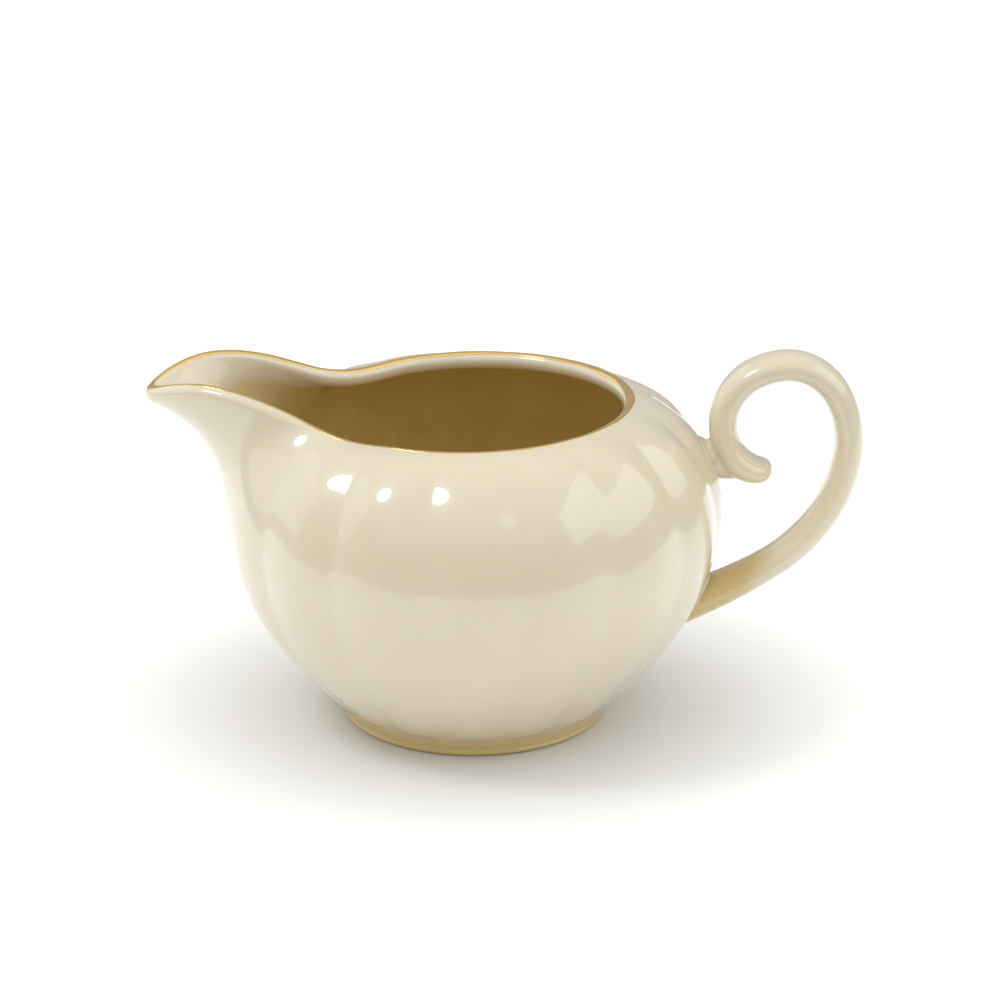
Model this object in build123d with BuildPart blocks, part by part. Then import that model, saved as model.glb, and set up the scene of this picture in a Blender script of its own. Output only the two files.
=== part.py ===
"""Porcelain cream jug.

A slip-cast fluted bowl on a foot ring, with its spout drawn out of the same shell, a scroll handle
cast on its own and luted on with slip at two places, and a gold line fired on the lip.

Frame: origin on the table, at the centre of the foot ring. +Z is up, the spout points to -X and the
handle to +X, so the XZ plane mirrors the jug. Sizes are in millimetres and degrees.
"""

from build123d import *
import math
import os

# Foot ring
foot_radius = 27.5
foot_height = 4.5
foot_width = 3.4
foot_taper = 0.6
foot_rounding = 0.8
base_recess = 2.6

# Bowl: a waist over the foot ring, the belly at its widest, and the neck at the top of the shoulder
waist_overhang = 2.5
belly_radius = 52.6
belly_height = 45.0
neck_radius = 33.4
shoulder_height = 68.4
wall = 2.9

# Flutes, one of them centred on the handle
flute_count = 16
flute_depth = 0.85
points_per_flute = 6

# Spout: how far it overhangs the belly, how wide it spreads in degrees, and the curves of its plan and side
spout_overhang = 15.6
spout_spread = 20.8
spout_fullness = 1.85
spout_sweep = 2.5
channel_lift = 1.4

# Lip, by how far it rises over the shoulder: low behind the spout, highest on it, then down to its tip
lip_back_rise = 1.7
lip_side_rise = 0.9
lip_dip_rise = 0.4
lip_dip_from_neck = 9.4
lip_crest_rise = 7.8
lip_crest_from_tip = 12.2
spout_tip_rise = 3.9

# Gold line
gold_width = 0.7
gold_thickness = 0.12

# Handle: the middle line of its rod, from the tip of the scroll to the root on the belly. Each point is
# its distance out from the belly and its level, which is -1 at the foot, 0 at the belly, 1 at the shoulder.
handle_points = (
    (8.6, 0.45),
    (4.6, 0.42),
    (1.1, 0.54),
    (-0.3, 0.79),
    (1.6, 1.12),
    (7.0, 1.32),
    (13.4, 1.36),
    (20.4, 1.27),
    (25.0, 1.03),
    (26.3, 0.68),
    (24.6, 0.26),
    (19.6, -0.08),
    (12.6, -0.27),
    (3.4, -0.41),
)
root_level = -0.6
root_depth = 4.5
rod_thickness = 5.8
rod_width = 10.0
root_thickness = 7.6
root_width = 12.0
scroll_tip_thickness = 4.0
scroll_tip_width = 8.0

# Luted joints
lug_level = 0.51
lug_height = 9.0
lug_width = 8.6
slip_thickness = 0.5
slip_margin = 0.7

# How far the cutting tools reach past the jug
tool_overrun = 12.0

waist_radius = foot_radius + waist_overhang
spout_reach = belly_radius + spout_overhang
spout_tip_height = shoulder_height + spout_tip_rise
lip_crest_height = shoulder_height + lip_crest_rise


def level_height(level):
    """Height of a level: -1 is the top of the foot, 0 the belly and 1 the shoulder."""
    span = shoulder_height - belly_height if level > 0 else belly_height - foot_height
    return belly_height + level * span


def bowl_radius(height, inset=0.0):
    """Radius of the bowl: a parabola up to the belly, then a quarter ellipse to the neck."""
    if height <= belly_height:
        drop = (belly_height - height) / (belly_height - foot_height - inset)
        return belly_radius - inset - (belly_radius - waist_radius) * drop**2
    rise = (height - belly_height) / (shoulder_height - inset - belly_height)
    return neck_radius - inset + (belly_radius - neck_radius) * math.sqrt(max(0.0, 1.0 - rise**2))


def spout_distance(height, inset=0.0):
    """How far the middle of the spout stands out: it sweeps from the belly to the tip."""
    lift = channel_lift if inset > 0.0 else 0.0
    rise = (height - lift - belly_height) / (spout_tip_height - belly_height)
    rise = min(1.0, max(0.0, rise))
    return belly_radius - inset + (spout_reach - belly_radius) * rise**spout_sweep


def flute_strength(height, inset=0.0):
    """Depth of the flutes: they run out at the foot and below the lip."""
    share = (height - foot_height - inset) / (shoulder_height - foot_height - 2 * inset)
    return flute_depth * math.sqrt(max(0.0, math.sin(math.pi * share)))


def outline(radius, reach, fluting=0.0, inset=0.0):
    """Closed plan outline: a fluted circle that swells into the spout around -X."""
    count = flute_count * points_per_flute
    points = []
    for step in range(count):
        angle = 360.0 * step / count
        off_spout = abs(180.0 - angle)
        swell = math.exp(-((off_spout / spout_spread) ** spout_fullness))
        scallop = 1.0 - abs(math.cos(math.radians(angle * flute_count / 2)))
        distance = radius + (reach - radius) * swell - fluting * scallop * (1.0 - swell)
        points.append(Vector(distance, 0).rotate(Axis.Z, angle))
    moved = []
    for step, point in enumerate(points):
        along = points[(step + 1) % count] - points[step - 1]
        outward = Vector(along.Y, -along.X).normalized()
        moved.append(point - outward * inset)
    return moved


def outline_face(height, points):
    """A face across the jug at a height."""
    with BuildSketch(Plane.XY.offset(height)) as face:
        with BuildLine():
            Spline(*points, periodic=True)
        make_face()
    return face.sketch


def bowl_form(inset=0.0):
    """The bowl with its spout as a solid up to the neck, its surface moved inwards by inset."""
    lower_steps = 5
    upper_steps = 7
    bottom = foot_height + inset
    top = shoulder_height - inset
    heights = [bottom + (belly_height - bottom) * step / lower_steps for step in range(lower_steps)]
    for step in range(upper_steps + 1):
        rise = math.sin(math.pi / 2 * step / upper_steps)
        heights.append(belly_height + (top - belly_height) * rise)
    with BuildPart() as form:
        for height in heights:
            radius = bowl_radius(height, inset)
            reach = spout_distance(height, inset) if height > belly_height else radius
            reach = max(radius, reach)
            fluting = flute_strength(height, inset)
            add(outline_face(height, outline(radius + inset, reach + inset, fluting, inset)))
        loft()
    return form.part


def neck_form(inset=0.0):
    """The short neck and the open spout, from the shoulder to well above the lip."""
    bottom = shoulder_height - inset
    top = lip_crest_height + tool_overrun
    with BuildPart() as form:
        for height in (bottom, spout_tip_height + channel_lift, top):
            reach = spout_distance(height, inset) + inset
            add(outline_face(height, outline(neck_radius, reach, inset=inset)))
        loft(ruled=True)
    return form.part



def above_lip(lift=0.0):
    """Everything above the lip's side view, which falls towards the spout and then sweeps up it."""
    base = shoulder_height + lift
    dip = (lip_dip_from_neck - neck_radius, base + lip_dip_rise)
    crest = (lip_crest_from_tip - spout_reach, base + lip_crest_rise)
    lip = (
        (neck_radius + tool_overrun, base + lip_back_rise),
        (0, base + lip_side_rise),
        dip,
        ((dip[0] + crest[0]) / 2, (dip[1] + crest[1]) / 2),
        crest,
        (-spout_reach, base + spout_tip_rise),
    )
    beyond = lip[-1][0] - tool_overrun
    top = base + lip_crest_rise + 2 * tool_overrun
    with BuildPart() as space:
        with BuildSketch(Plane.XZ):
            with BuildLine():
                Spline(*lip)
                Polyline(lip[-1], (beyond, lip[-1][1]), (beyond, top), (lip[0][0], top), lip[0])
            make_face()
        extrude(amount=belly_radius, both=True)
    return space.part


def jug_form(inset=0.0):
    """Bowl, spout and neck as one solid, its surface moved inwards by inset, or outwards if negative."""
    with BuildPart() as form:
        add(bowl_form(inset))
        add(neck_form(inset))
    return form.part


def handle_oval(share, thickness, width):
    """An oval across the handle's rod at a share of its length."""
    line = handle_line.line
    across = Plane(line @ share, x_dir=(0, 1, 0), z_dir=line % share)
    with BuildSketch(across) as oval:
        Ellipse(width / 2, thickness / 2)
    return oval.sketch


removed_above = above_lip()

# Bowl, shoulder and spout as one shell, cut along the lip, on its foot ring
with BuildPart() as jug_body:
    add(jug_form())
    with BuildSketch(Plane.XY):
        Circle(foot_radius)
    extrude(amount=foot_height, taper=-foot_taper)
    add(jug_form(wall), mode=Mode.SUBTRACT)
    add(removed_above, mode=Mode.SUBTRACT)
    with BuildSketch(Plane.XY):
        Circle(foot_radius - foot_width)
    extrude(amount=base_recess, mode=Mode.SUBTRACT)
    foot_edges = jug_body.edges().filter_by(GeomType.CIRCLE).group_by(Axis.Z)[0]
    fillet(foot_edges, radius=foot_rounding)

# Gold line: a thin film on the lip's outer margin
with BuildPart() as gold_rim_line:
    add(neck_form())
    add(neck_form(gold_width), mode=Mode.SUBTRACT)
    add(removed_above, mode=Mode.INTERSECT)
    add(above_lip(gold_thickness), mode=Mode.SUBTRACT)

# The bowl's surface with the slip on it, where the handle ends
bowl_with_slip = bowl_form(-slip_thickness)

# Handle: an oval rod that curls into a scroll at the top and thickens to its root on the belly
root_height = level_height(root_level)
root_end = (bowl_radius(root_height) - root_depth, root_height)
with BuildLine(Plane.XZ) as handle_line:
    route = [(belly_radius + out, level_height(level)) for out, level in handle_points]
    Spline(*route, root_end)
lug_start = belly_radius + handle_points[2][0]
lug_length = lug_start - neck_radius
lug_plane = Plane((lug_start, 0, level_height(lug_level)), x_dir=(0, 1, 0), z_dir=(-1, 0, 0))
root_plane = Plane(handle_line.line @ 1, x_dir=(0, 1, 0), z_dir=handle_line.line % 1)
root_length = belly_radius - root_end[0]
with BuildPart() as handle:
    for share, thickness, width in (
        (0.0, scroll_tip_thickness, scroll_tip_width),
        (0.12, rod_thickness, rod_width),
        (0.4, rod_thickness, rod_width),
        (0.75, rod_thickness, rod_width),
        (1.0, root_thickness, root_width),
    ):
        add(handle_oval(share, thickness, width))
    sweep(path=handle_line.line, multisection=True)
    with BuildSketch(lug_plane):
        Ellipse(lug_width / 2, lug_height / 2)
    extrude(amount=lug_length)
    add(bowl_with_slip, mode=Mode.SUBTRACT)

# Upper joint: slip between the handle's lug and the shoulder
with BuildPart() as upper_slip_joint:
    with BuildSketch(lug_plane):
        Ellipse(lug_width / 2 + slip_margin, lug_height / 2 + slip_margin)
    extrude(amount=lug_length)
    add(bowl_with_slip, mode=Mode.INTERSECT)
    add(bowl_form(), mode=Mode.SUBTRACT)

# Lower joint: slip between the handle's root and the belly
with BuildPart() as lower_slip_joint:
    with BuildSketch(root_plane):
        Ellipse(root_width / 2 + slip_margin, root_thickness / 2 + slip_margin)
    extrude(amount=-root_length)
    add(bowl_with_slip, mode=Mode.INTERSECT)
    add(bowl_form(), mode=Mode.SUBTRACT)

os.makedirs("parts", exist_ok=True)
for name, piece in (
    ("jug_body", jug_body),
    ("handle", handle),
    ("upper_slip_joint", upper_slip_joint),
    ("lower_slip_joint", lower_slip_joint),
    ("gold_rim_line", gold_rim_line),
):
    print(name, piece.part.volume, piece.part.is_valid, len(piece.part.solids()))
    piece.part.label = name
    export_step(piece.part, f"parts/{name}.step")
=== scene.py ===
# %% [markdown]
# # A porcelain cream jug
#
# The jug is a fired ceramic: one slip-cast shell with its spout and foot ring, a scroll handle cast
# on its own, two slip joints that hold the handle, and a gold line fired on the lip.
# Every surface here is a formula on a grid of two parameters, because porcelain has no flat faces
# and no sharp edges: the glaze rounds all of them.
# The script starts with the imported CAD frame, which gives all the main sizes.

import math

import bpy
import numpy as np
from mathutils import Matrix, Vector


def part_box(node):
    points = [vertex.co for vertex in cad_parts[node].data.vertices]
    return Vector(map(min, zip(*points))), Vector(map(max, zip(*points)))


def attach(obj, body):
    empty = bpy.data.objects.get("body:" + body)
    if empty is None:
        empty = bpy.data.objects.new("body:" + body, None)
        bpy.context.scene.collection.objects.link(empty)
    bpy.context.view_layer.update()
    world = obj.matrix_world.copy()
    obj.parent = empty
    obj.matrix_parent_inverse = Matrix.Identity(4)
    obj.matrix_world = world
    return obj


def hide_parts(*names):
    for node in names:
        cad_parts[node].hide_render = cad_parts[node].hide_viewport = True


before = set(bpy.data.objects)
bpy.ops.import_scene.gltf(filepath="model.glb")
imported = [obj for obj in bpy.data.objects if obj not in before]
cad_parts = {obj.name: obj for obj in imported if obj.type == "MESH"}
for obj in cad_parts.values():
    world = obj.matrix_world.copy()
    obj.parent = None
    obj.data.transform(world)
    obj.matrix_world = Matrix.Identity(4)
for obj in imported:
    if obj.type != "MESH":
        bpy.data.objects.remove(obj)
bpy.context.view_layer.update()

# %% [markdown]
# ## Main sizes
#
# The script works in metres. The belly, the spout's tip and the lip's crest come from the body
# node's box, so that the surfaces keep to the frame. What a box can't say, such as the height of the
# belly, is a named value in millimetres times MM.

# %% Main sizes
MM = 0.001
body_low, body_high = (np.array(corner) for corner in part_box("jug_body"))
belly_radius = body_high[1]
spout_tip_reach = -body_low[0]
lip_crest_height = body_high[2]

belly_height = 45.0 * MM
foot_height = 4.5 * MM
foot_radius = 28.0 * MM
waist_radius = 30.0 * MM
neck_radius = 33.7 * MM
shoulder_height = lip_crest_height - 7.8 * MM
wall = 2.9 * MM
lip_thickness = 3.7 * MM
lip_radius = lip_thickness / 2
print("belly", belly_radius, "spout", spout_tip_reach, "crest", lip_crest_height)

# %% [markdown]
# ## Curves and grids
#
# Two helpers carry the whole model. smooth_curve draws a soft line through a few points, as a maker
# draws a profile with a French curve. grid_mesh turns a grid of points into a closed mesh: its
# columns wrap round the piece, and each end is closed with a fan of triangles to one pole.


# %% Helpers for curves and grids
def smooth_curve(knots, values, at):
    """Cubic Hermite curve through values at knots, its slope at each knot that of its neighbours."""
    knots = np.asarray(knots, float)
    values = np.asarray(values, float)
    slopes = np.gradient(values, knots, axis=0)
    at = np.clip(at, knots[0], knots[-1])
    left = np.clip(np.searchsorted(knots, at, side="right") - 1, 0, len(knots) - 2)
    span = knots[left + 1] - knots[left]
    share = (at - knots[left]) / span
    if values.ndim > 1:
        span, share = span[:, None], share[:, None]
    start = (1 + 2 * share) * (1 - share) ** 2 * values[left]
    end = share**2 * (3 - 2 * share) * values[left + 1]
    rise = share * (1 - share) ** 2 * span * slopes[left]
    fall = share**2 * (share - 1) * span * slopes[left + 1]
    return start + end + rise + fall


def soft_step(values, start, end):
    """0 before start and 1 after end, with a smooth cubic between them."""
    share = np.clip((values - start) / (end - start), 0.0, 1.0)
    return share**2 * (3 - 2 * share)


def unit(vectors):
    """Each vector divided by its length."""
    return vectors / np.linalg.norm(vectors, axis=-1, keepdims=True)


def grid_faces(rows, columns, first=0):
    """Quads of a grid whose columns wrap round: row by row, each to its neighbour on the right."""
    row, column = np.meshgrid(np.arange(rows - 1), np.arange(columns), indexing="ij")
    beside = (column + 1) % columns
    quads = (
        row * columns + column,
        row * columns + beside,
        (row + 1) * columns + beside,
        (row + 1) * columns + column,
    )
    return first + np.stack(quads, axis=-1).reshape(-1, 4)


def grid_mesh(name, points, material, closed="poles"):
    """A mesh from a rows x columns x 3 grid.

    closed="poles" adds a pole at the middle of the first and the last row; closed="ring" joins the
    last row to the first.
    """
    rows, columns, _ = points.shape
    vertices = points.reshape(-1, 3)
    if closed == "ring":
        points = np.concatenate([points, points[:1]])
        faces = grid_faces(rows + 1, columns) % (rows * columns)
        faces = faces.tolist()
    else:
        faces = grid_faces(rows, columns).tolist()
        poles = np.stack([points[0].mean(axis=0), points[-1].mean(axis=0)])
        vertices = np.concatenate([vertices, poles])
        ring = np.arange(columns)
        beside = (ring + 1) % columns
        start = np.stack([np.full(columns, rows * columns), beside, ring], axis=-1)
        last = (rows - 1) * columns
        end = np.stack([np.full(columns, rows * columns + 1), last + ring, last + beside], axis=-1)
        faces += start.tolist() + end.tolist()
    mesh = bpy.data.meshes.new(name)
    mesh.from_pydata(vertices.tolist(), [], faces)
    mesh.shade_smooth()
    piece = bpy.data.objects.new(name, mesh)
    bpy.context.scene.collection.objects.link(piece)
    piece.data.materials.append(material)
    print(name, "points", len(vertices), "faces", len(faces))
    return piece


# %% [markdown]
# ## Glaze and gold
#
# The porcelain is cream all through under a clear gloss glaze. The body scatters a little light
# below its surface, so the shader has some subsurface scattering, and the glaze is a coat on top.
# Real glaze isn't perfectly even: it pools a little in the hollows and has a faint ripple, so the
# colour and the bump each get a soft noise on Object coordinates. Inside the bowl, round the foot and
# at the handle's root the colour has painted shade: a deeper, browner tone that stands in for the
# shade there. A point attribute says how much of that painted shade each point takes.
# The gold line is a thin metal film, brushed on by hand, with a slight grain.


# %% Colours, and the noises' waves per metre
cream_light = (0.76, 0.68, 0.50)
cream_warm = (0.735, 0.65, 0.465)
# The next colour is painted shade: the darker, browner tone of the shaded inside, foot and handle root.
shade_tone = (0.64, 0.46, 0.145)
gold_deep = (0.86, 0.56, 0.17)
gold_bright = (0.93, 0.66, 0.27)
TONE_WAVES = 35.0
GLAZE_WAVES = 90.0
GOLD_TONE_WAVES = 600.0
GRAIN_WAVES = 1500.0


# %% Materials
def new_material(name):
    """An empty node material and its Principled shader."""
    material = bpy.data.materials.new(name)
    material.use_nodes = True
    return material, material.node_tree, material.node_tree.nodes["Principled BSDF"]


def noise(tree, scale, detail=2.0):
    """Noise on Object coordinates. scale is in waves per metre."""
    place = tree.nodes.new("ShaderNodeTexCoord")
    waves = tree.nodes.new("ShaderNodeTexNoise")
    waves.inputs["Scale"].default_value = scale
    waves.inputs["Detail"].default_value = detail
    tree.links.new(place.outputs["Object"], waves.inputs["Vector"])
    return waves.outputs["Fac"]


def mix_colours(tree, factor, low, high):
    """The colour between low and high that factor gives."""
    mix = tree.nodes.new("ShaderNodeMix")
    mix.data_type = "RGBA"
    tree.links.new(factor, mix.inputs["Factor"])
    for socket, colour in ((mix.inputs["A"], low), (mix.inputs["B"], high)):
        if hasattr(colour, "is_output"):
            tree.links.new(colour, socket)
        else:
            socket.default_value = (*colour, 1.0)
    return mix.outputs["Result"]


def ripple(tree, shader, height, strength, distance):
    """Bumps the shader's surface by height."""
    bump = tree.nodes.new("ShaderNodeBump")
    bump.inputs["Strength"].default_value = strength
    bump.inputs["Distance"].default_value = distance
    tree.links.new(height, bump.inputs["Height"])
    tree.links.new(bump.outputs["Normal"], shader.inputs["Normal"])


def glaze_material(name, light, warm, shade_colour):
    """Cream porcelain under clear glaze. A point attribute turns the tone towards a darker colour, as
    painted shade.
    """
    material, tree, shader = new_material(name)
    tone = mix_colours(tree, noise(tree, TONE_WAVES), light, warm)
    # Painted shade: a point attribute mixes the darker colour into the tone.
    depth = tree.nodes.new("ShaderNodeAttribute")
    depth.attribute_name = "painted_shade"
    tone = mix_colours(tree, depth.outputs["Fac"], tone, shade_colour)
    tree.links.new(tone, shader.inputs["Base Color"])
    shader.inputs["Roughness"].default_value = 0.32
    shader.inputs["IOR"].default_value = 1.5
    shader.inputs["Subsurface Weight"].default_value = 0.12
    shader.inputs["Subsurface Radius"].default_value = (1.0, 0.7, 0.4)
    shader.inputs["Subsurface Scale"].default_value = 1.5 * MM
    shader.inputs["Coat Weight"].default_value = 1.0
    shader.inputs["Coat Roughness"].default_value = 0.02
    shader.inputs["Coat IOR"].default_value = 1.62
    ripple(tree, shader, noise(tree, GLAZE_WAVES), strength=0.05, distance=1.0 * MM)
    return material


def gold_material():
    """Bright fired gold with a faint brushed grain."""
    material, tree, shader = new_material("fired_gold")
    tone = mix_colours(tree, noise(tree, GOLD_TONE_WAVES), gold_deep, gold_bright)
    tree.links.new(tone, shader.inputs["Base Color"])
    shader.inputs["Metallic"].default_value = 1.0
    shader.inputs["Roughness"].default_value = 0.14
    ripple(tree, shader, noise(tree, GRAIN_WAVES), strength=0.1, distance=0.05 * MM)
    return material


porcelain = glaze_material("glazed_porcelain", cream_light, cream_warm, shade_tone)
slip_glaze = glaze_material("glazed_slip", cream_warm, cream_warm, shade_tone)
gold = gold_material()

# %% [markdown]
# ## The outside of the bowl
#
# A thrower or a mould maker draws the bowl as one profile and turns it. Here each column of the grid
# is such a profile, in a level that runs from -1 at the foot through 0 at the belly to 1 at the lip:
# a parabola below the belly and a quarter ellipse above it.
# Round the spout the profile is another one, a slow curve that sweeps outwards to the tip. Each
# column mixes the two by its share of spout, so the spout grows out of the shoulder with no seam.
# The flutes are 16 shallow arcs round the bowl, which run out under the lip. They are deepest on
# the shoulder, and shallower down to the foot.

# %% Shares of the spout and of the flutes
COLUMNS = 480
FLUTES = 16
SPOUT_SPREAD = 23.0
SPOUT_FULLNESS = 1.9
flute_depth = 1.43 * MM
valley_softness = 0.20

angle = np.linspace(0.0, 2 * np.pi, COLUMNS, endpoint=False)
off_spout = np.degrees(np.abs(np.pi - angle))
spout_share = np.exp(-((off_spout / SPOUT_SPREAD) ** SPOUT_FULLNESS))


def hollow_at(turn):
    """0 on the crest of a flute and 1 in its valley: a cosine arc with a softened foot."""
    arc = np.sqrt(np.cos(turn * FLUTES / 2) ** 2 + valley_softness**2)
    crest = math.sqrt(1.0 + valley_softness**2)
    return (crest - arc) / (crest - valley_softness)


flute_hollow = hollow_at(angle)
flute_level = np.array([-1.0, -0.5, 0.0, 0.4, 0.65, 0.85, 1.0])
flute_share = np.array([0.35, 0.50, 0.60, 0.90, 1.00, 0.45, 0.0])

# %% Bowl and spout profiles
spout_lip_reach = spout_tip_reach + 0.3 * MM
spout_lip_height = shoulder_height + 1.5 * MM
SPOUT_SWEEP = 3.9
SPOUT_SWELL = 4.6 * MM
SWELL_POWER = 1.6
BOWL_POWER = 1.94
BOWL_LIFT_POWER = 6.0
SPOUT_LIFT_POWER = 3.0
# The lip's side view: distance from the axis towards the handle, and height over the shoulder
lip_view_x = np.array([-66.5, -62.0, -56.0, -50.0, -44.0, -38.0, -32.0, -26.0, -14.0, 0.0, 33.0]) * MM
lip_view_rise = np.array([4.1, 6.4, 8.0, 7.8, 6.4, 4.2, 1.9, 0.3, 0.6, 0.9, 1.6]) * MM


def bowl_profile(level):
    """Radius and height: nearly a parabola below the belly, a quarter ellipse above it."""
    low = np.minimum(level, 0.0)
    turn = np.maximum(level, 0.0) * np.pi / 2
    below = belly_radius - (belly_radius - waist_radius) * np.abs(low) ** BOWL_POWER
    above = neck_radius + (belly_radius - neck_radius) * np.cos(turn)
    radius = np.where(level < 0, below, above)
    height = belly_height + (belly_height - foot_height) * low
    height = height + (shoulder_height - belly_height) * np.sin(turn)
    return radius, height


def spout_profile(level):
    """Radius and height of the middle of the spout: a power curve from the belly to the tip."""
    up = np.maximum(level, 0.0)
    sweep = spout_lip_reach - belly_radius - SPOUT_SWELL
    radius = belly_radius + SPOUT_SWELL * up**SWELL_POWER + sweep * up**SPOUT_SWEEP
    height = belly_height + (spout_lip_height - belly_height) * up
    return radius, height


def outside(level, lip_drop):
    """Points of the outside, one row for each level: bowl and spout mixed, then fluted and lifted.

    lip_drop lowers each column's lip by what the rounded edge will add on top of it.
    """
    level = level[:, None]
    share = np.where(level > 0, spout_share[None, :], 0.0)
    bowl_radius, bowl_height = bowl_profile(level)
    spout_radius, spout_height = spout_profile(level)
    radius = bowl_radius + (spout_radius - bowl_radius) * share
    height = bowl_height + (spout_height - bowl_height) * share
    lip_radius_out = neck_radius + (spout_lip_reach - neck_radius) * spout_share
    lip_height = shoulder_height + (spout_lip_height - shoulder_height) * spout_share
    lip_x = (lip_radius_out - lip_radius) * np.cos(angle)
    wanted = shoulder_height + smooth_curve(lip_view_x, lip_view_rise, lip_x)
    lift = (wanted - lip_drop - lip_height)[None, :]
    lift_power = BOWL_LIFT_POWER + (SPOUT_LIFT_POWER - BOWL_LIFT_POWER) * spout_share[None, :]
    height = height + lift * np.maximum(level, 0.0) ** lift_power
    depth = flute_depth * smooth_curve(flute_level, flute_share, level[:, 0])[:, None]
    radius = radius - depth * flute_hollow[None, :] * (1.0 - share) ** 2
    x = radius * np.cos(angle)
    y = radius * np.sin(angle)
    return np.stack([x, y, height + 0.0 * x], axis=-1)


def normals(points):
    """Outward unit normals of a grid whose columns wrap round and whose rows run upwards."""
    across = np.roll(points, -1, axis=1) - np.roll(points, 1, axis=1)
    along = np.gradient(points, axis=0)
    return unit(np.cross(across, along))


LOW_ROWS = 36
HIGH_ROWS = 60
ROWS_TOWARDS_LIP = 1.25
LIP_TRIES = 4
low_levels = np.linspace(-1.0, 0.0, LOW_ROWS, endpoint=False)
high_levels = 1.0 - (1.0 - np.linspace(0.0, 1.0, HIGH_ROWS)) ** ROWS_TOWARDS_LIP
levels = np.concatenate([low_levels, high_levels])
lip_drop = np.zeros(COLUMNS)
for _ in range(LIP_TRIES):
    outer = outside(levels, lip_drop)
    outer_normals = normals(outer)
    lip_drop = lip_radius * (1.0 - outer_normals[-1, :, 2])
print("outside rows", len(levels), "lip drop up to", lip_drop.max())

# %% [markdown]
# ## Lip, inside, and foot
#
# The mould takes the same thickness of clay from the slip nearly everywhere, so the inside is the
# outside moved in by the wall along its normals. The wall gets thicker towards the lip, and half a
# circle joins the two sides as the rounded lip.
# The foot ring is a small turned profile with soft corners, and the floor closes with a shallow dish.

# %% Lip and inside
LIP_ROWS = 14
INSIDE_FLOOR_LEVEL = -0.93
THICKER_FROM_LEVEL = 0.70
lip_middle = outer[-1] - lip_radius * outer_normals[-1]
lip_out = outer_normals[-1]
lip_up = unit(outer[-1] - outer[-2])
lip_up = unit(lip_up - (lip_up * lip_out).sum(axis=-1, keepdims=True) * lip_out)


def lip_points(turn, radius):
    """Points on the rounded lip. turn is 0 on the outside and pi on the inside."""
    turn = np.broadcast_to(turn, (len(turn), COLUMNS))[:, :, None]
    return lip_middle + radius * (np.cos(turn) * lip_out + np.sin(turn) * lip_up)


lip = lip_points(np.linspace(0.0, np.pi, LIP_ROWS)[1:-1, None], lip_radius)
inside_rows = levels > INSIDE_FLOOR_LEVEL
wall_at = wall + (lip_thickness - wall) * soft_step(levels, THICKER_FROM_LEVEL, 1.0)
inner = (outer - wall_at[:, None, None] * outer_normals)[inside_rows][::-1]


# %% Foot and floor
def turned(radii, heights):
    """Rows of a turned surface, from a list of radii and heights."""
    radii = np.asarray(radii)[:, None]
    x = radii * np.cos(angle)
    y = radii * np.sin(angle)
    z = np.asarray(heights)[:, None] + 0.0 * x
    return np.stack([x, y, z], axis=-1)


def rounded_line(corners, radius, steps=5):
    """A line through corners, each of them cut by a quadratic curve that starts radius away."""
    line = [np.array(corners[0], float)]
    for before, corner, after in zip(corners, corners[1:], corners[2:]):
        before, corner, after = (np.array(point, float) for point in (before, corner, after))
        to_before = min(radius, np.linalg.norm(before - corner) / 2)
        to_after = min(radius, np.linalg.norm(after - corner) / 2)
        start = corner + unit(before - corner) * to_before
        end = corner + unit(after - corner) * to_after
        for share in np.linspace(0.0, 1.0, steps):
            line.append((1 - share) ** 2 * start + 2 * share * (1 - share) * corner + share**2 * end)
    line.append(np.array(corners[-1], float))
    return np.array(line)


recess_height = 2.6 * MM
foot_width = 3.4 * MM
foot_corners = (
    (2.0 * MM, recess_height),
    (foot_radius - foot_width, recess_height),
    (foot_radius - foot_width + 0.3 * MM, 0.0),
    (foot_radius - 0.1 * MM, 0.0),
    (foot_radius, foot_height - 2.2 * MM),
    (foot_radius + 1.3 * MM, foot_height - 0.4 * MM),
)
foot_line = rounded_line(foot_corners, 1.3 * MM)
foot = turned(foot_line[:, 0], foot_line[:, 1])
floor_start = inner[-1]
floor_share = np.linspace(0.0, 1.0, 10)[1:-1, None, None]
floor_middle = np.array([0.0, 0.0, foot_height + 0.9 * MM])
inside_floor = floor_start + (floor_middle - floor_start) * floor_share
dish = (1.0 - floor_share[:, :, 0]) ** 2
inside_floor[:, :, 2] = floor_middle[2] + (floor_start[None, :, 2] - floor_middle[2]) * dish

body_points = np.concatenate([foot, outer, lip, inner, inside_floor])
jug_body = grid_mesh("jug_body_glazed", body_points, porcelain)

# %% Painted shade on the bowl
# Painted shade: the foot and the bottom of the bowl darken towards the table over the lowest 9 mm. The
# inside darkens from 2.5 mm under the lip and a little more further down, and its floor takes all of it.
shade_height = 9.0 * MM
UPPER_SHADE = 0.80
LOWER_SHADE = 0.20
SPOUT_LESS_SHADE = 0.6
foot_shade = 1.0 - soft_step(foot[:, 0, 2], 0.0, shade_height)
bowl_shade = 1.0 - soft_step(outer[:, 0, 2], 0.0, shade_height)
under_lip = np.cumsum(np.linalg.norm(np.diff(inner[:, 0], axis=0, prepend=inner[:1, 0]), axis=1))
inside_shade = UPPER_SHADE * soft_step(under_lip, 2.5 * MM, 5.5 * MM)
inside_shade = inside_shade + LOWER_SHADE * soft_step(under_lip, 14.0 * MM, 32.0 * MM)
painted_shade = np.concatenate(
    [
        foot_shade,
        bowl_shade,
        np.zeros(len(lip)),
        inside_shade,
        np.ones(len(inside_floor)),
    ]
)
painted_shade = np.repeat(painted_shade[:, None], COLUMNS, axis=1)
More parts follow.
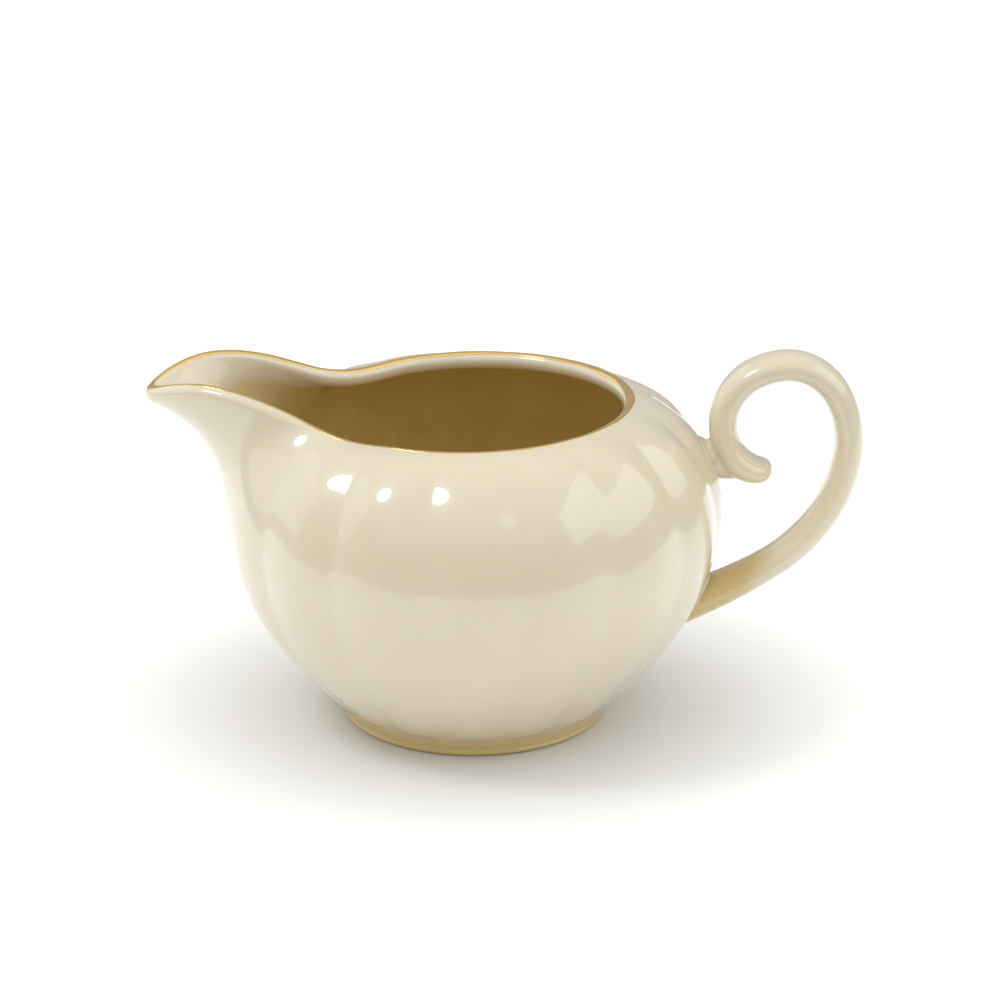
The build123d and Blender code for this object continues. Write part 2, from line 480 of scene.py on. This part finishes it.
# The inside of the spout takes less of the painted shade.
in_spout = soft_step(np.linalg.norm(body_points[:, :, :2], axis=-1), 24.0 * MM, 58.0 * MM)
painted_shade = painted_shade * (1.0 - SPOUT_LESS_SHADE * in_spout * spout_share)
underside_pole, floor_pole = 0.0, 1.0
painted_shade = np.concatenate([painted_shade.reshape(-1), [underside_pole, floor_pole]])
tint = jug_body.data.attributes.new("painted_shade", "FLOAT", "POINT")
tint.data.foreach_set("value", painted_shade.astype(np.float32))
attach(jug_body, "root")
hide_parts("jug_body")

# %% [markdown]
# ## The gold line
#
# The painter turns the jug on a wheel and lets a loaded brush rest on the lip's crest, so the line
# follows the highest point of the rounded edge and lies a little more on its inside. It gets wider
# over the spout's tip and turns outwards there, where the brush was lifted off. The film is a flat
# ribbon that stands a few hundredths of a millimetre proud.

# %% Gold line
gold_half_width = 0.86 * MM
tip_half_width = 0.25 * MM
inward_turn = 0.18
tip_turn = 0.75
film = 0.035 * MM
RIBBON_ROWS = 9
TIP_WIDTH_DEGREES = 7.0
crest_turn = np.arctan2(lip_up[:, 2], lip_out[:, 2])
near_tip = np.exp(-((off_spout / TIP_WIDTH_DEGREES) ** 2))
hand = 1.0 + 0.10 * np.sin(3 * angle + 0.7) + 0.07 * np.sin(11 * angle + 2.1)
half_turn = (gold_half_width * hand + tip_half_width * near_tip) / lip_radius
ribbon = np.linspace(-1.0, 1.0, RIBBON_ROWS)[:, None] * half_turn
ribbon = ribbon + crest_turn + inward_turn - tip_turn * near_tip
ribbon_top = lip_points(ribbon, lip_radius + film)
ribbon_under = lip_points(ribbon[::-1], lip_radius - 2 * film)
gold_points = np.concatenate([ribbon_top, ribbon_under])
gold_line = grid_mesh("gold_line", gold_points, gold, closed="ring")
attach(gold_line, "root")
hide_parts("gold_rim_line")

# %% [markdown]
# ## The handle
#
# The handle is a rod of clay bent into a C-scroll: up from the shoulder, over, and down to the
# belly, with the upper end curled back into a tail. Its middle line is a smooth curve in the XZ
# plane, and an oval is carried along it, thicker towards the root. A short waisted lug joins the
# curl to the shoulder.
# The rod and the lug are fused by a fine voxel remesh and then smoothed, which gives the soft
# run of glaze in the corner between them.

# %% Keep within the wall
END_DEPTH = 1.2 * MM


def bowl_radius_at(points):
    """Radius of the fluted bowl at each point's height and bearing."""
    fall = np.clip((points[..., 2] - belly_height) / (belly_height - foot_height), -1.2, 0.0)
    rise = np.clip((points[..., 2] - belly_height) / (shoulder_height - belly_height), 0.0, 1.0)
    below = belly_radius - (belly_radius - waist_radius) * np.abs(fall) ** BOWL_POWER
    above = neck_radius + (belly_radius - neck_radius) * np.sqrt(1.0 - rise**2)
    plain = np.where(points[..., 2] < belly_height, below, above)
    level = fall + np.arcsin(rise) * 2 / np.pi
    depth = flute_depth * smooth_curve(flute_level, flute_share, level)
    return plain - depth * hollow_at(np.arctan2(points[..., 1], points[..., 0]))


def end_in_wall(points):
    """Points that go deeper than END_DEPTH under the bowl's surface are moved out to there."""
    reach = np.linalg.norm(points[..., :2], axis=-1)
    limit = bowl_radius_at(points) - END_DEPTH
    grow = np.where(points[..., 2] > foot_height, np.maximum(limit / reach, 1.0), 1.0)
    return points * np.stack([grow, grow, np.ones_like(grow)], axis=-1)


# %% Handle route
# Distance out from the belly and height, from the tail's tip to the root
handle_route = np.array(
    [
        (10.2, 55.2),
        (7.4, 54.0),
        (4.2, 55.0),
        (1.5, 57.9),
        (-0.1, 62.2),
        (0.7, 69.2),
        (4.7, 74.2),
        (9.4, 76.4),
        (13.6, 77.0),
        (18.2, 75.8),
        (22.2, 72.6),
        (25.0, 67.6),
        (26.3, 61.0),
        (25.5, 54.3),
        (23.1, 47.3),
        (19.0, 41.0),
        (13.8, 35.7),
        (7.5, 31.4),
        (0.6, 27.7),
        (-7.6, 24.1),
        (-14.0, 21.6),
    ]
)
ROD_ROWS = 260
ROD_COLUMNS = 64
route = np.zeros((len(handle_route), 3))
route[:, 0] = belly_radius + handle_route[:, 0] * MM
route[:, 2] = handle_route[:, 1] * MM
run = np.concatenate([[0.0], np.cumsum(np.linalg.norm(np.diff(route, axis=0), axis=1))])
distance = np.linspace(0.0, run[-1], ROD_ROWS)
middle = smooth_curve(run, route, distance)
print("handle length", run[-1])

# %% Handle rod
rod_half_thickness = 2.95 * MM
rod_half_width = 5.0 * MM
root_half_thickness = 4.0 * MM
root_half_width = 6.2 * MM
tail_rounding = 2.4 * MM
tail_taper = 11.0 * MM
OVAL_POWER = 2.2
ROOT_FROM_SHARE = 0.78
ROOT_POWER = 1.3
THINNEST_TAIL = 0.06
root_start = ROOT_FROM_SHARE * run[-1]
towards_root = np.clip((distance - root_start) / (run[-1] - root_start), 0.0, 1.0)[:, None] ** ROOT_POWER
half_thickness = rod_half_thickness + (root_half_thickness - rod_half_thickness) * towards_root
half_width = rod_half_width + (root_half_width - rod_half_width) * towards_root
tail_share = np.clip(distance / tail_rounding, 0.0, 1.0)[:, None]
tail = np.sqrt(1.0 - (1.0 - tail_share) ** 2)
tail = np.maximum(tail, THINNEST_TAIL)
tail = tail * (0.72 + 0.36 * np.sin(np.clip(distance / tail_taper, 0.0, 1.0) * 2.0)[:, None])


def oval(count):
    """Points round a superellipse of unit half axes, evenly spread in its turn."""
    turn = np.linspace(0.0, 2 * np.pi, count, endpoint=False)
    share = 2.0 / OVAL_POWER
    first = np.sign(np.cos(turn)) * np.abs(np.cos(turn)) ** share
    second = np.sign(np.sin(turn)) * np.abs(np.sin(turn)) ** share
    return first, second


along = unit(np.gradient(middle, axis=0))
sideways = np.array([0.0, 1.0, 0.0])
outwards = np.cross(along, sideways)
first, second = oval(ROD_COLUMNS)
rod_points = (
    middle[:, None, :]
    + (half_thickness * tail * first)[:, :, None] * outwards[:, None, :]
    + (half_width * tail * second)[:, :, None] * sideways
)
rod = grid_mesh("handle_glazed", end_in_wall(rod_points), porcelain)

# %% Handle lug
lug_height = 56.6 * MM
LUG_ROWS = 24
lug_share = np.linspace(0.0, 1.0, LUG_ROWS)[:, None]
lug_x = (45.0 + 10.5 * lug_share) * MM
flare = (1.0 - lug_share) ** 2
lug_half_height = (3.8 + 1.1 * flare) * MM
lug_half_width = (3.5 + 1.5 * flare) * MM
lug_points = np.stack(
    [
        lug_x + 0.0 * first,
        lug_half_width * first,
        lug_height - 0.9 * MM * lug_share + lug_half_height * second,
    ],
    axis=-1,
)
lug = grid_mesh("handle_lug", end_in_wall(lug_points), porcelain)


# %% Fuse rod and lug
def join_into(piece, other):
    """Adds other's mesh to piece's and removes other."""
    with bpy.context.temp_override(active_object=piece, selected_editable_objects=[piece, other]):
        bpy.ops.object.join()


def apply_modifiers(piece):
    """Keeps the piece's mesh as its modifiers leave it."""
    shaped = piece.evaluated_get(bpy.context.evaluated_depsgraph_get())
    mesh = bpy.data.meshes.new_from_object(shaped)
    piece.modifiers.clear()
    piece.data = mesh


voxel = 0.34 * MM
SMOOTHING_STEPS = 12
ROOT_SHADE = 0.80
join_into(rod, lug)
remesh = rod.modifiers.new("fuse", "REMESH")
remesh.mode = "VOXEL"
remesh.voxel_size = voxel
soften = rod.modifiers.new("soften", "SMOOTH")
soften.factor = 0.5
soften.iterations = SMOOTHING_STEPS
apply_modifiers(rod)
rod.data.shade_smooth()
if not rod.data.materials:
    rod.data.materials.append(porcelain)

# %% Painted shade at the handle's root
place = np.empty(len(rod.data.vertices) * 3, np.float32)
rod.data.vertices.foreach_get("co", place)
place = place.reshape(-1, 3)
# Painted shade: below the belly the handle darkens where it comes within 13 mm of the bowl, standing in
# for the bowl's shade on it.
off_bowl = np.linalg.norm(place[:, :2], axis=-1) - bowl_radius_at(place)
root_shade = ROOT_SHADE * (1.0 - soft_step(off_bowl, 7.0 * MM, 13.0 * MM)) * (place[:, 2] < belly_height)
tint = rod.data.attributes.new("painted_shade", "FLOAT", "POINT")
tint.data.foreach_set("value", root_shade.astype(np.float32))
print("handle faces", len(rod.data.polygons))
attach(rod, "root")
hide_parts("handle")

# %% [markdown]
# ## The slip joints
#
# The handle is stuck on with slip, and the maker wipes the squeezed-out slip round with a wet
# brush, which leaves a small hollow fillet. Each fillet is a ring: it starts on the handle, curves
# through the corner and ends on the bowl. The bowl's surface along a line is found by halving.


# %% Find the bowl along a line
HALVINGS = 30


def meet_bowl(start, direction, reach):
    """Where lines from start along direction enter the bowl, by halving the span reach."""
    near = np.zeros(start.shape[:-1])
    far = near + reach
    for _ in range(HALVINGS):
        half = (near + far) / 2
        point = start + half[..., None] * direction
        within = np.linalg.norm(point[..., :2], axis=-1) < bowl_radius_at(point)
        far = np.where(within, half, far)
        near = np.where(within, near, half)
    return start + near[..., None] * direction


def slip_fillet(name, centre, direction, side, half_side, half_up, margin, up_reach):
    """A hollow ring round an oval stub that meets the bowl.

    Its section is a quadratic curve from the stub's side to the bowl, pulled into the corner
    between them, and closed by a line under the surface.
    """
    upward = np.cross(direction, side)
    ring, rise = oval(96)

    def meeting(grow):
        wide = (half_side + grow) * ring
        tall = (half_up + grow) * rise
        start = centre + wide[:, None] * side + tall[:, None] * upward
        return meet_bowl(start, direction, 40.0 * MM)

    corner = meeting(0.0)
    on_stub = corner - up_reach * direction
    on_bowl = meeting(margin)
    share = np.linspace(0.0, 1.0, 8)[:, None, None]
    curve = (1 - share) ** 2 * on_stub + 2 * share * (1 - share) * corner + share**2 * on_bowl
    under = meeting(-0.8 * MM) + 0.5 * MM * direction
    points = np.concatenate([curve, under[None]])
    return grid_mesh(name, points, slip_glaze, closed="ring")


# %% Upper and lower slip joints
upper_joint = slip_fillet(
    "upper_slip_fillet",
    centre=np.array([60.0 * MM, 0.0, lug_height]),
    direction=np.array([-1.0, 0.0, 0.0]),
    side=sideways,
    half_side=4.4 * MM,
    half_up=4.3 * MM,
    margin=0.6 * MM,
    up_reach=0.6 * MM,
)
root_direction = along[-1]
lower_joint = slip_fillet(
    "lower_slip_fillet",
    centre=middle[-1] - 24.0 * MM * root_direction,
    direction=root_direction,
    side=sideways,
    half_side=root_half_width,
    half_up=root_half_thickness,
    margin=1.0 * MM,
    up_reach=1.0 * MM,
)
for piece, node in ((upper_joint, "upper_slip_joint"), (lower_joint, "lower_slip_joint")):
    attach(piece, "root")
    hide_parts(node)

# %% [markdown]
# ## Table, light and camera
#
# The jug stands on a plain table, white under and behind the jug and grey beyond: the grey is painted
# shade, which the glaze reflects. The white part glows a little, as painted light on the table and the
# bowl's lower half; the glow fades out close to the jug, so the table is darker round the foot.
# Gloss glaze shows whatever is round it, so the light is mostly a soft dome: grey low down and
# bright overhead and a little to the front, which runs as a smooth shade down the shoulder. One
# small round lamp high on the left gives the bright point on each of the near lobes, a large
# window on the right gives its shape there, and a pale wall behind on the left edges the spout.


# %% Table
def smooth_range(tree, value, start, end, top=1.0):
    """A node value that rises smoothly from 0 at start to top at end."""
    node = tree.nodes.new("ShaderNodeMapRange")
    node.interpolation_type = "SMOOTHSTEP"
    node.inputs["From Min"].default_value = start
    node.inputs["From Max"].default_value = end
    node.inputs["To Max"].default_value = top
    tree.links.new(value, node.inputs["Value"])
    return node.outputs["Result"]


def distance_to(tree, centre):
    """A node value: the distance from centre, in Object coordinates."""
    place = tree.nodes.new("ShaderNodeTexCoord")
    reach = tree.nodes.new("ShaderNodeVectorMath")
    reach.operation = "DISTANCE"
    reach.inputs[1].default_value = centre
    tree.links.new(place.outputs["Object"], reach.inputs[0])
    return reach.outputs["Value"]


TABLE_SIZE = 8.0
SHEET_CENTRE = (0.0, 0.30, 0.0)
sheet_white = (0.80, 0.80, 0.80)
table_shade_grey = (0.40, 0.40, 0.40)
half_table = TABLE_SIZE / 2
table_mesh = bpy.data.meshes.new("table")
table_corners = [
    (-half_table, -half_table, 0.0),
    (half_table, -half_table, 0.0),
    (half_table, half_table, 0.0),
    (-half_table, half_table, 0.0),
]
table_mesh.from_pydata(table_corners, [], [(0, 1, 2, 3)])
table = bpy.data.objects.new("table", table_mesh)
bpy.context.scene.collection.objects.link(table)
table_material, table_tree, table_shader = new_material("white_table")
# Painted shade: the table turns grey from 0.45 to 0.50 m away from a point behind the jug.
in_table_shade = smooth_range(table_tree, distance_to(table_tree, SHEET_CENTRE), 0.45, 0.50)
table_tone = mix_colours(table_tree, in_table_shade, sheet_white, table_shade_grey)
table_tree.links.new(table_tone, table_shader.inputs["Base Color"])
table_shader.inputs["Roughness"].default_value = 0.9
table_shader.inputs["Specular IOR Level"].default_value = 0.1
# Painted light: the white part of the table glows. There is no glow within 0.03 m of the jug's axis, and
# it is full from 0.11 m out.
table_shader.inputs["Emission Color"].default_value = (1.0, 1.0, 1.0, 1.0)
painted_glow = smooth_range(table_tree, distance_to(table_tree, (0.0, 0.0, 0.0)), 0.03, 0.11, top=0.36)
on_sheet = table_tree.nodes.new("ShaderNodeMath")
on_sheet.operation = "SUBTRACT"
on_sheet.inputs[0].default_value = 1.0
table_tree.links.new(in_table_shade, on_sheet.inputs[1])
sheet_painted_glow = table_tree.nodes.new("ShaderNodeMath")
sheet_painted_glow.operation = "MULTIPLY"
table_tree.links.new(painted_glow, sheet_painted_glow.inputs[0])
table_tree.links.new(on_sheet.outputs["Value"], sheet_painted_glow.inputs[1])
table_tree.links.new(sheet_painted_glow.outputs["Value"], table_shader.inputs["Emission Strength"])
table.data.materials.append(table_material)


# %% Lights
LIGHT_AIM_HEIGHT = 0.04


def soft_box(name, turn, rise, distance, width, height, radiance, shape="RECTANGLE"):
    """An area light that faces the jug.

    turn is its bearing in degrees, 0 at the camera and positive to the right, rise its height
    above the horizon in degrees, and its power is pi times radiance times area.
    """
    turn, rise = math.radians(turn), math.radians(rise)
    aim = Vector((0.0, 0.0, LIGHT_AIM_HEIGHT))
    bearing = Vector((math.sin(turn) * math.cos(rise), -math.cos(turn) * math.cos(rise), math.sin(rise)))
    lamp = bpy.data.lights.new(name, "AREA")
    lamp.shape = shape
    lamp.size = width
    lamp.size_y = height
    lamp.energy = math.pi * radiance * width * height
    light = bpy.data.objects.new(name, lamp)
    light.location = aim + distance * bearing
    light.rotation_euler = bearing.to_track_quat("Z", "Y").to_euler()
    bpy.context.scene.collection.objects.link(light)


soft_box("left_lamp", -70.4, 57.3, 1.0, width=0.27, height=0.27, radiance=8.0, shape="ELLIPSE")
soft_box("right_window", 84.0, 34.0, 1.3, width=1.7, height=0.85, radiance=1.0)
soft_box("left_wall", -115.0, 24.0, 1.5, width=2.2, height=1.2, radiance=0.65)

# %% Dome
DOME_STRENGTH = 1.06
brightest_way = (0.0, -0.24, 0.97)
world = bpy.data.worlds.new("studio_dome")
world.use_nodes = True
dome = world.node_tree
bearing = dome.nodes.new("ShaderNodeTexCoord")
towards_light = dome.nodes.new("ShaderNodeVectorMath")
towards_light.operation = "DOT_PRODUCT"
towards_light.inputs[1].default_value = brightest_way
dome.links.new(bearing.outputs["Generated"], towards_light.inputs[0])
ramp = dome.nodes.new("ShaderNodeValToRGB")
dome.links.new(towards_light.outputs["Value"], ramp.inputs["Fac"])
ramp.color_ramp.elements[0].position = 0.0
ramp.color_ramp.elements[0].color = (0.42, 0.42, 0.42, 1.0)
ramp.color_ramp.elements[1].position = 1.0
ramp.color_ramp.elements[1].color = (1.0, 1.0, 1.0, 1.0)
for position, grey in ((0.45, 0.50), (0.75, 0.86)):
    stop = ramp.color_ramp.elements.new(position)
    stop.color = (grey, grey, grey, 1.0)
dome.links.new(ramp.outputs["Color"], dome.nodes["Background"].inputs["Color"])
dome.nodes["Background"].inputs["Strength"].default_value = DOME_STRENGTH
bpy.context.scene.world = world
bpy.context.scene.view_settings.view_transform = "Standard"

# %% Camera
CAMERA_DISTANCE = 0.800
CAMERA_HEIGHT = 0.3354
CAMERA_SIDE = 5.51 * MM
CAMERA_PITCH = 19.82
FOCAL_LENGTH = 144.8
camera_data = bpy.data.cameras.new("camera")
camera_data.lens = FOCAL_LENGTH
camera_data.sensor_width = 36.0
camera = bpy.data.objects.new("camera", camera_data)
camera.location = (CAMERA_SIDE, -CAMERA_DISTANCE, CAMERA_HEIGHT)
camera.rotation_euler = (math.radians(90.0 - CAMERA_PITCH), 0.0, 0.0)
bpy.context.scene.collection.objects.link(camera)
bpy.context.scene.camera = camera
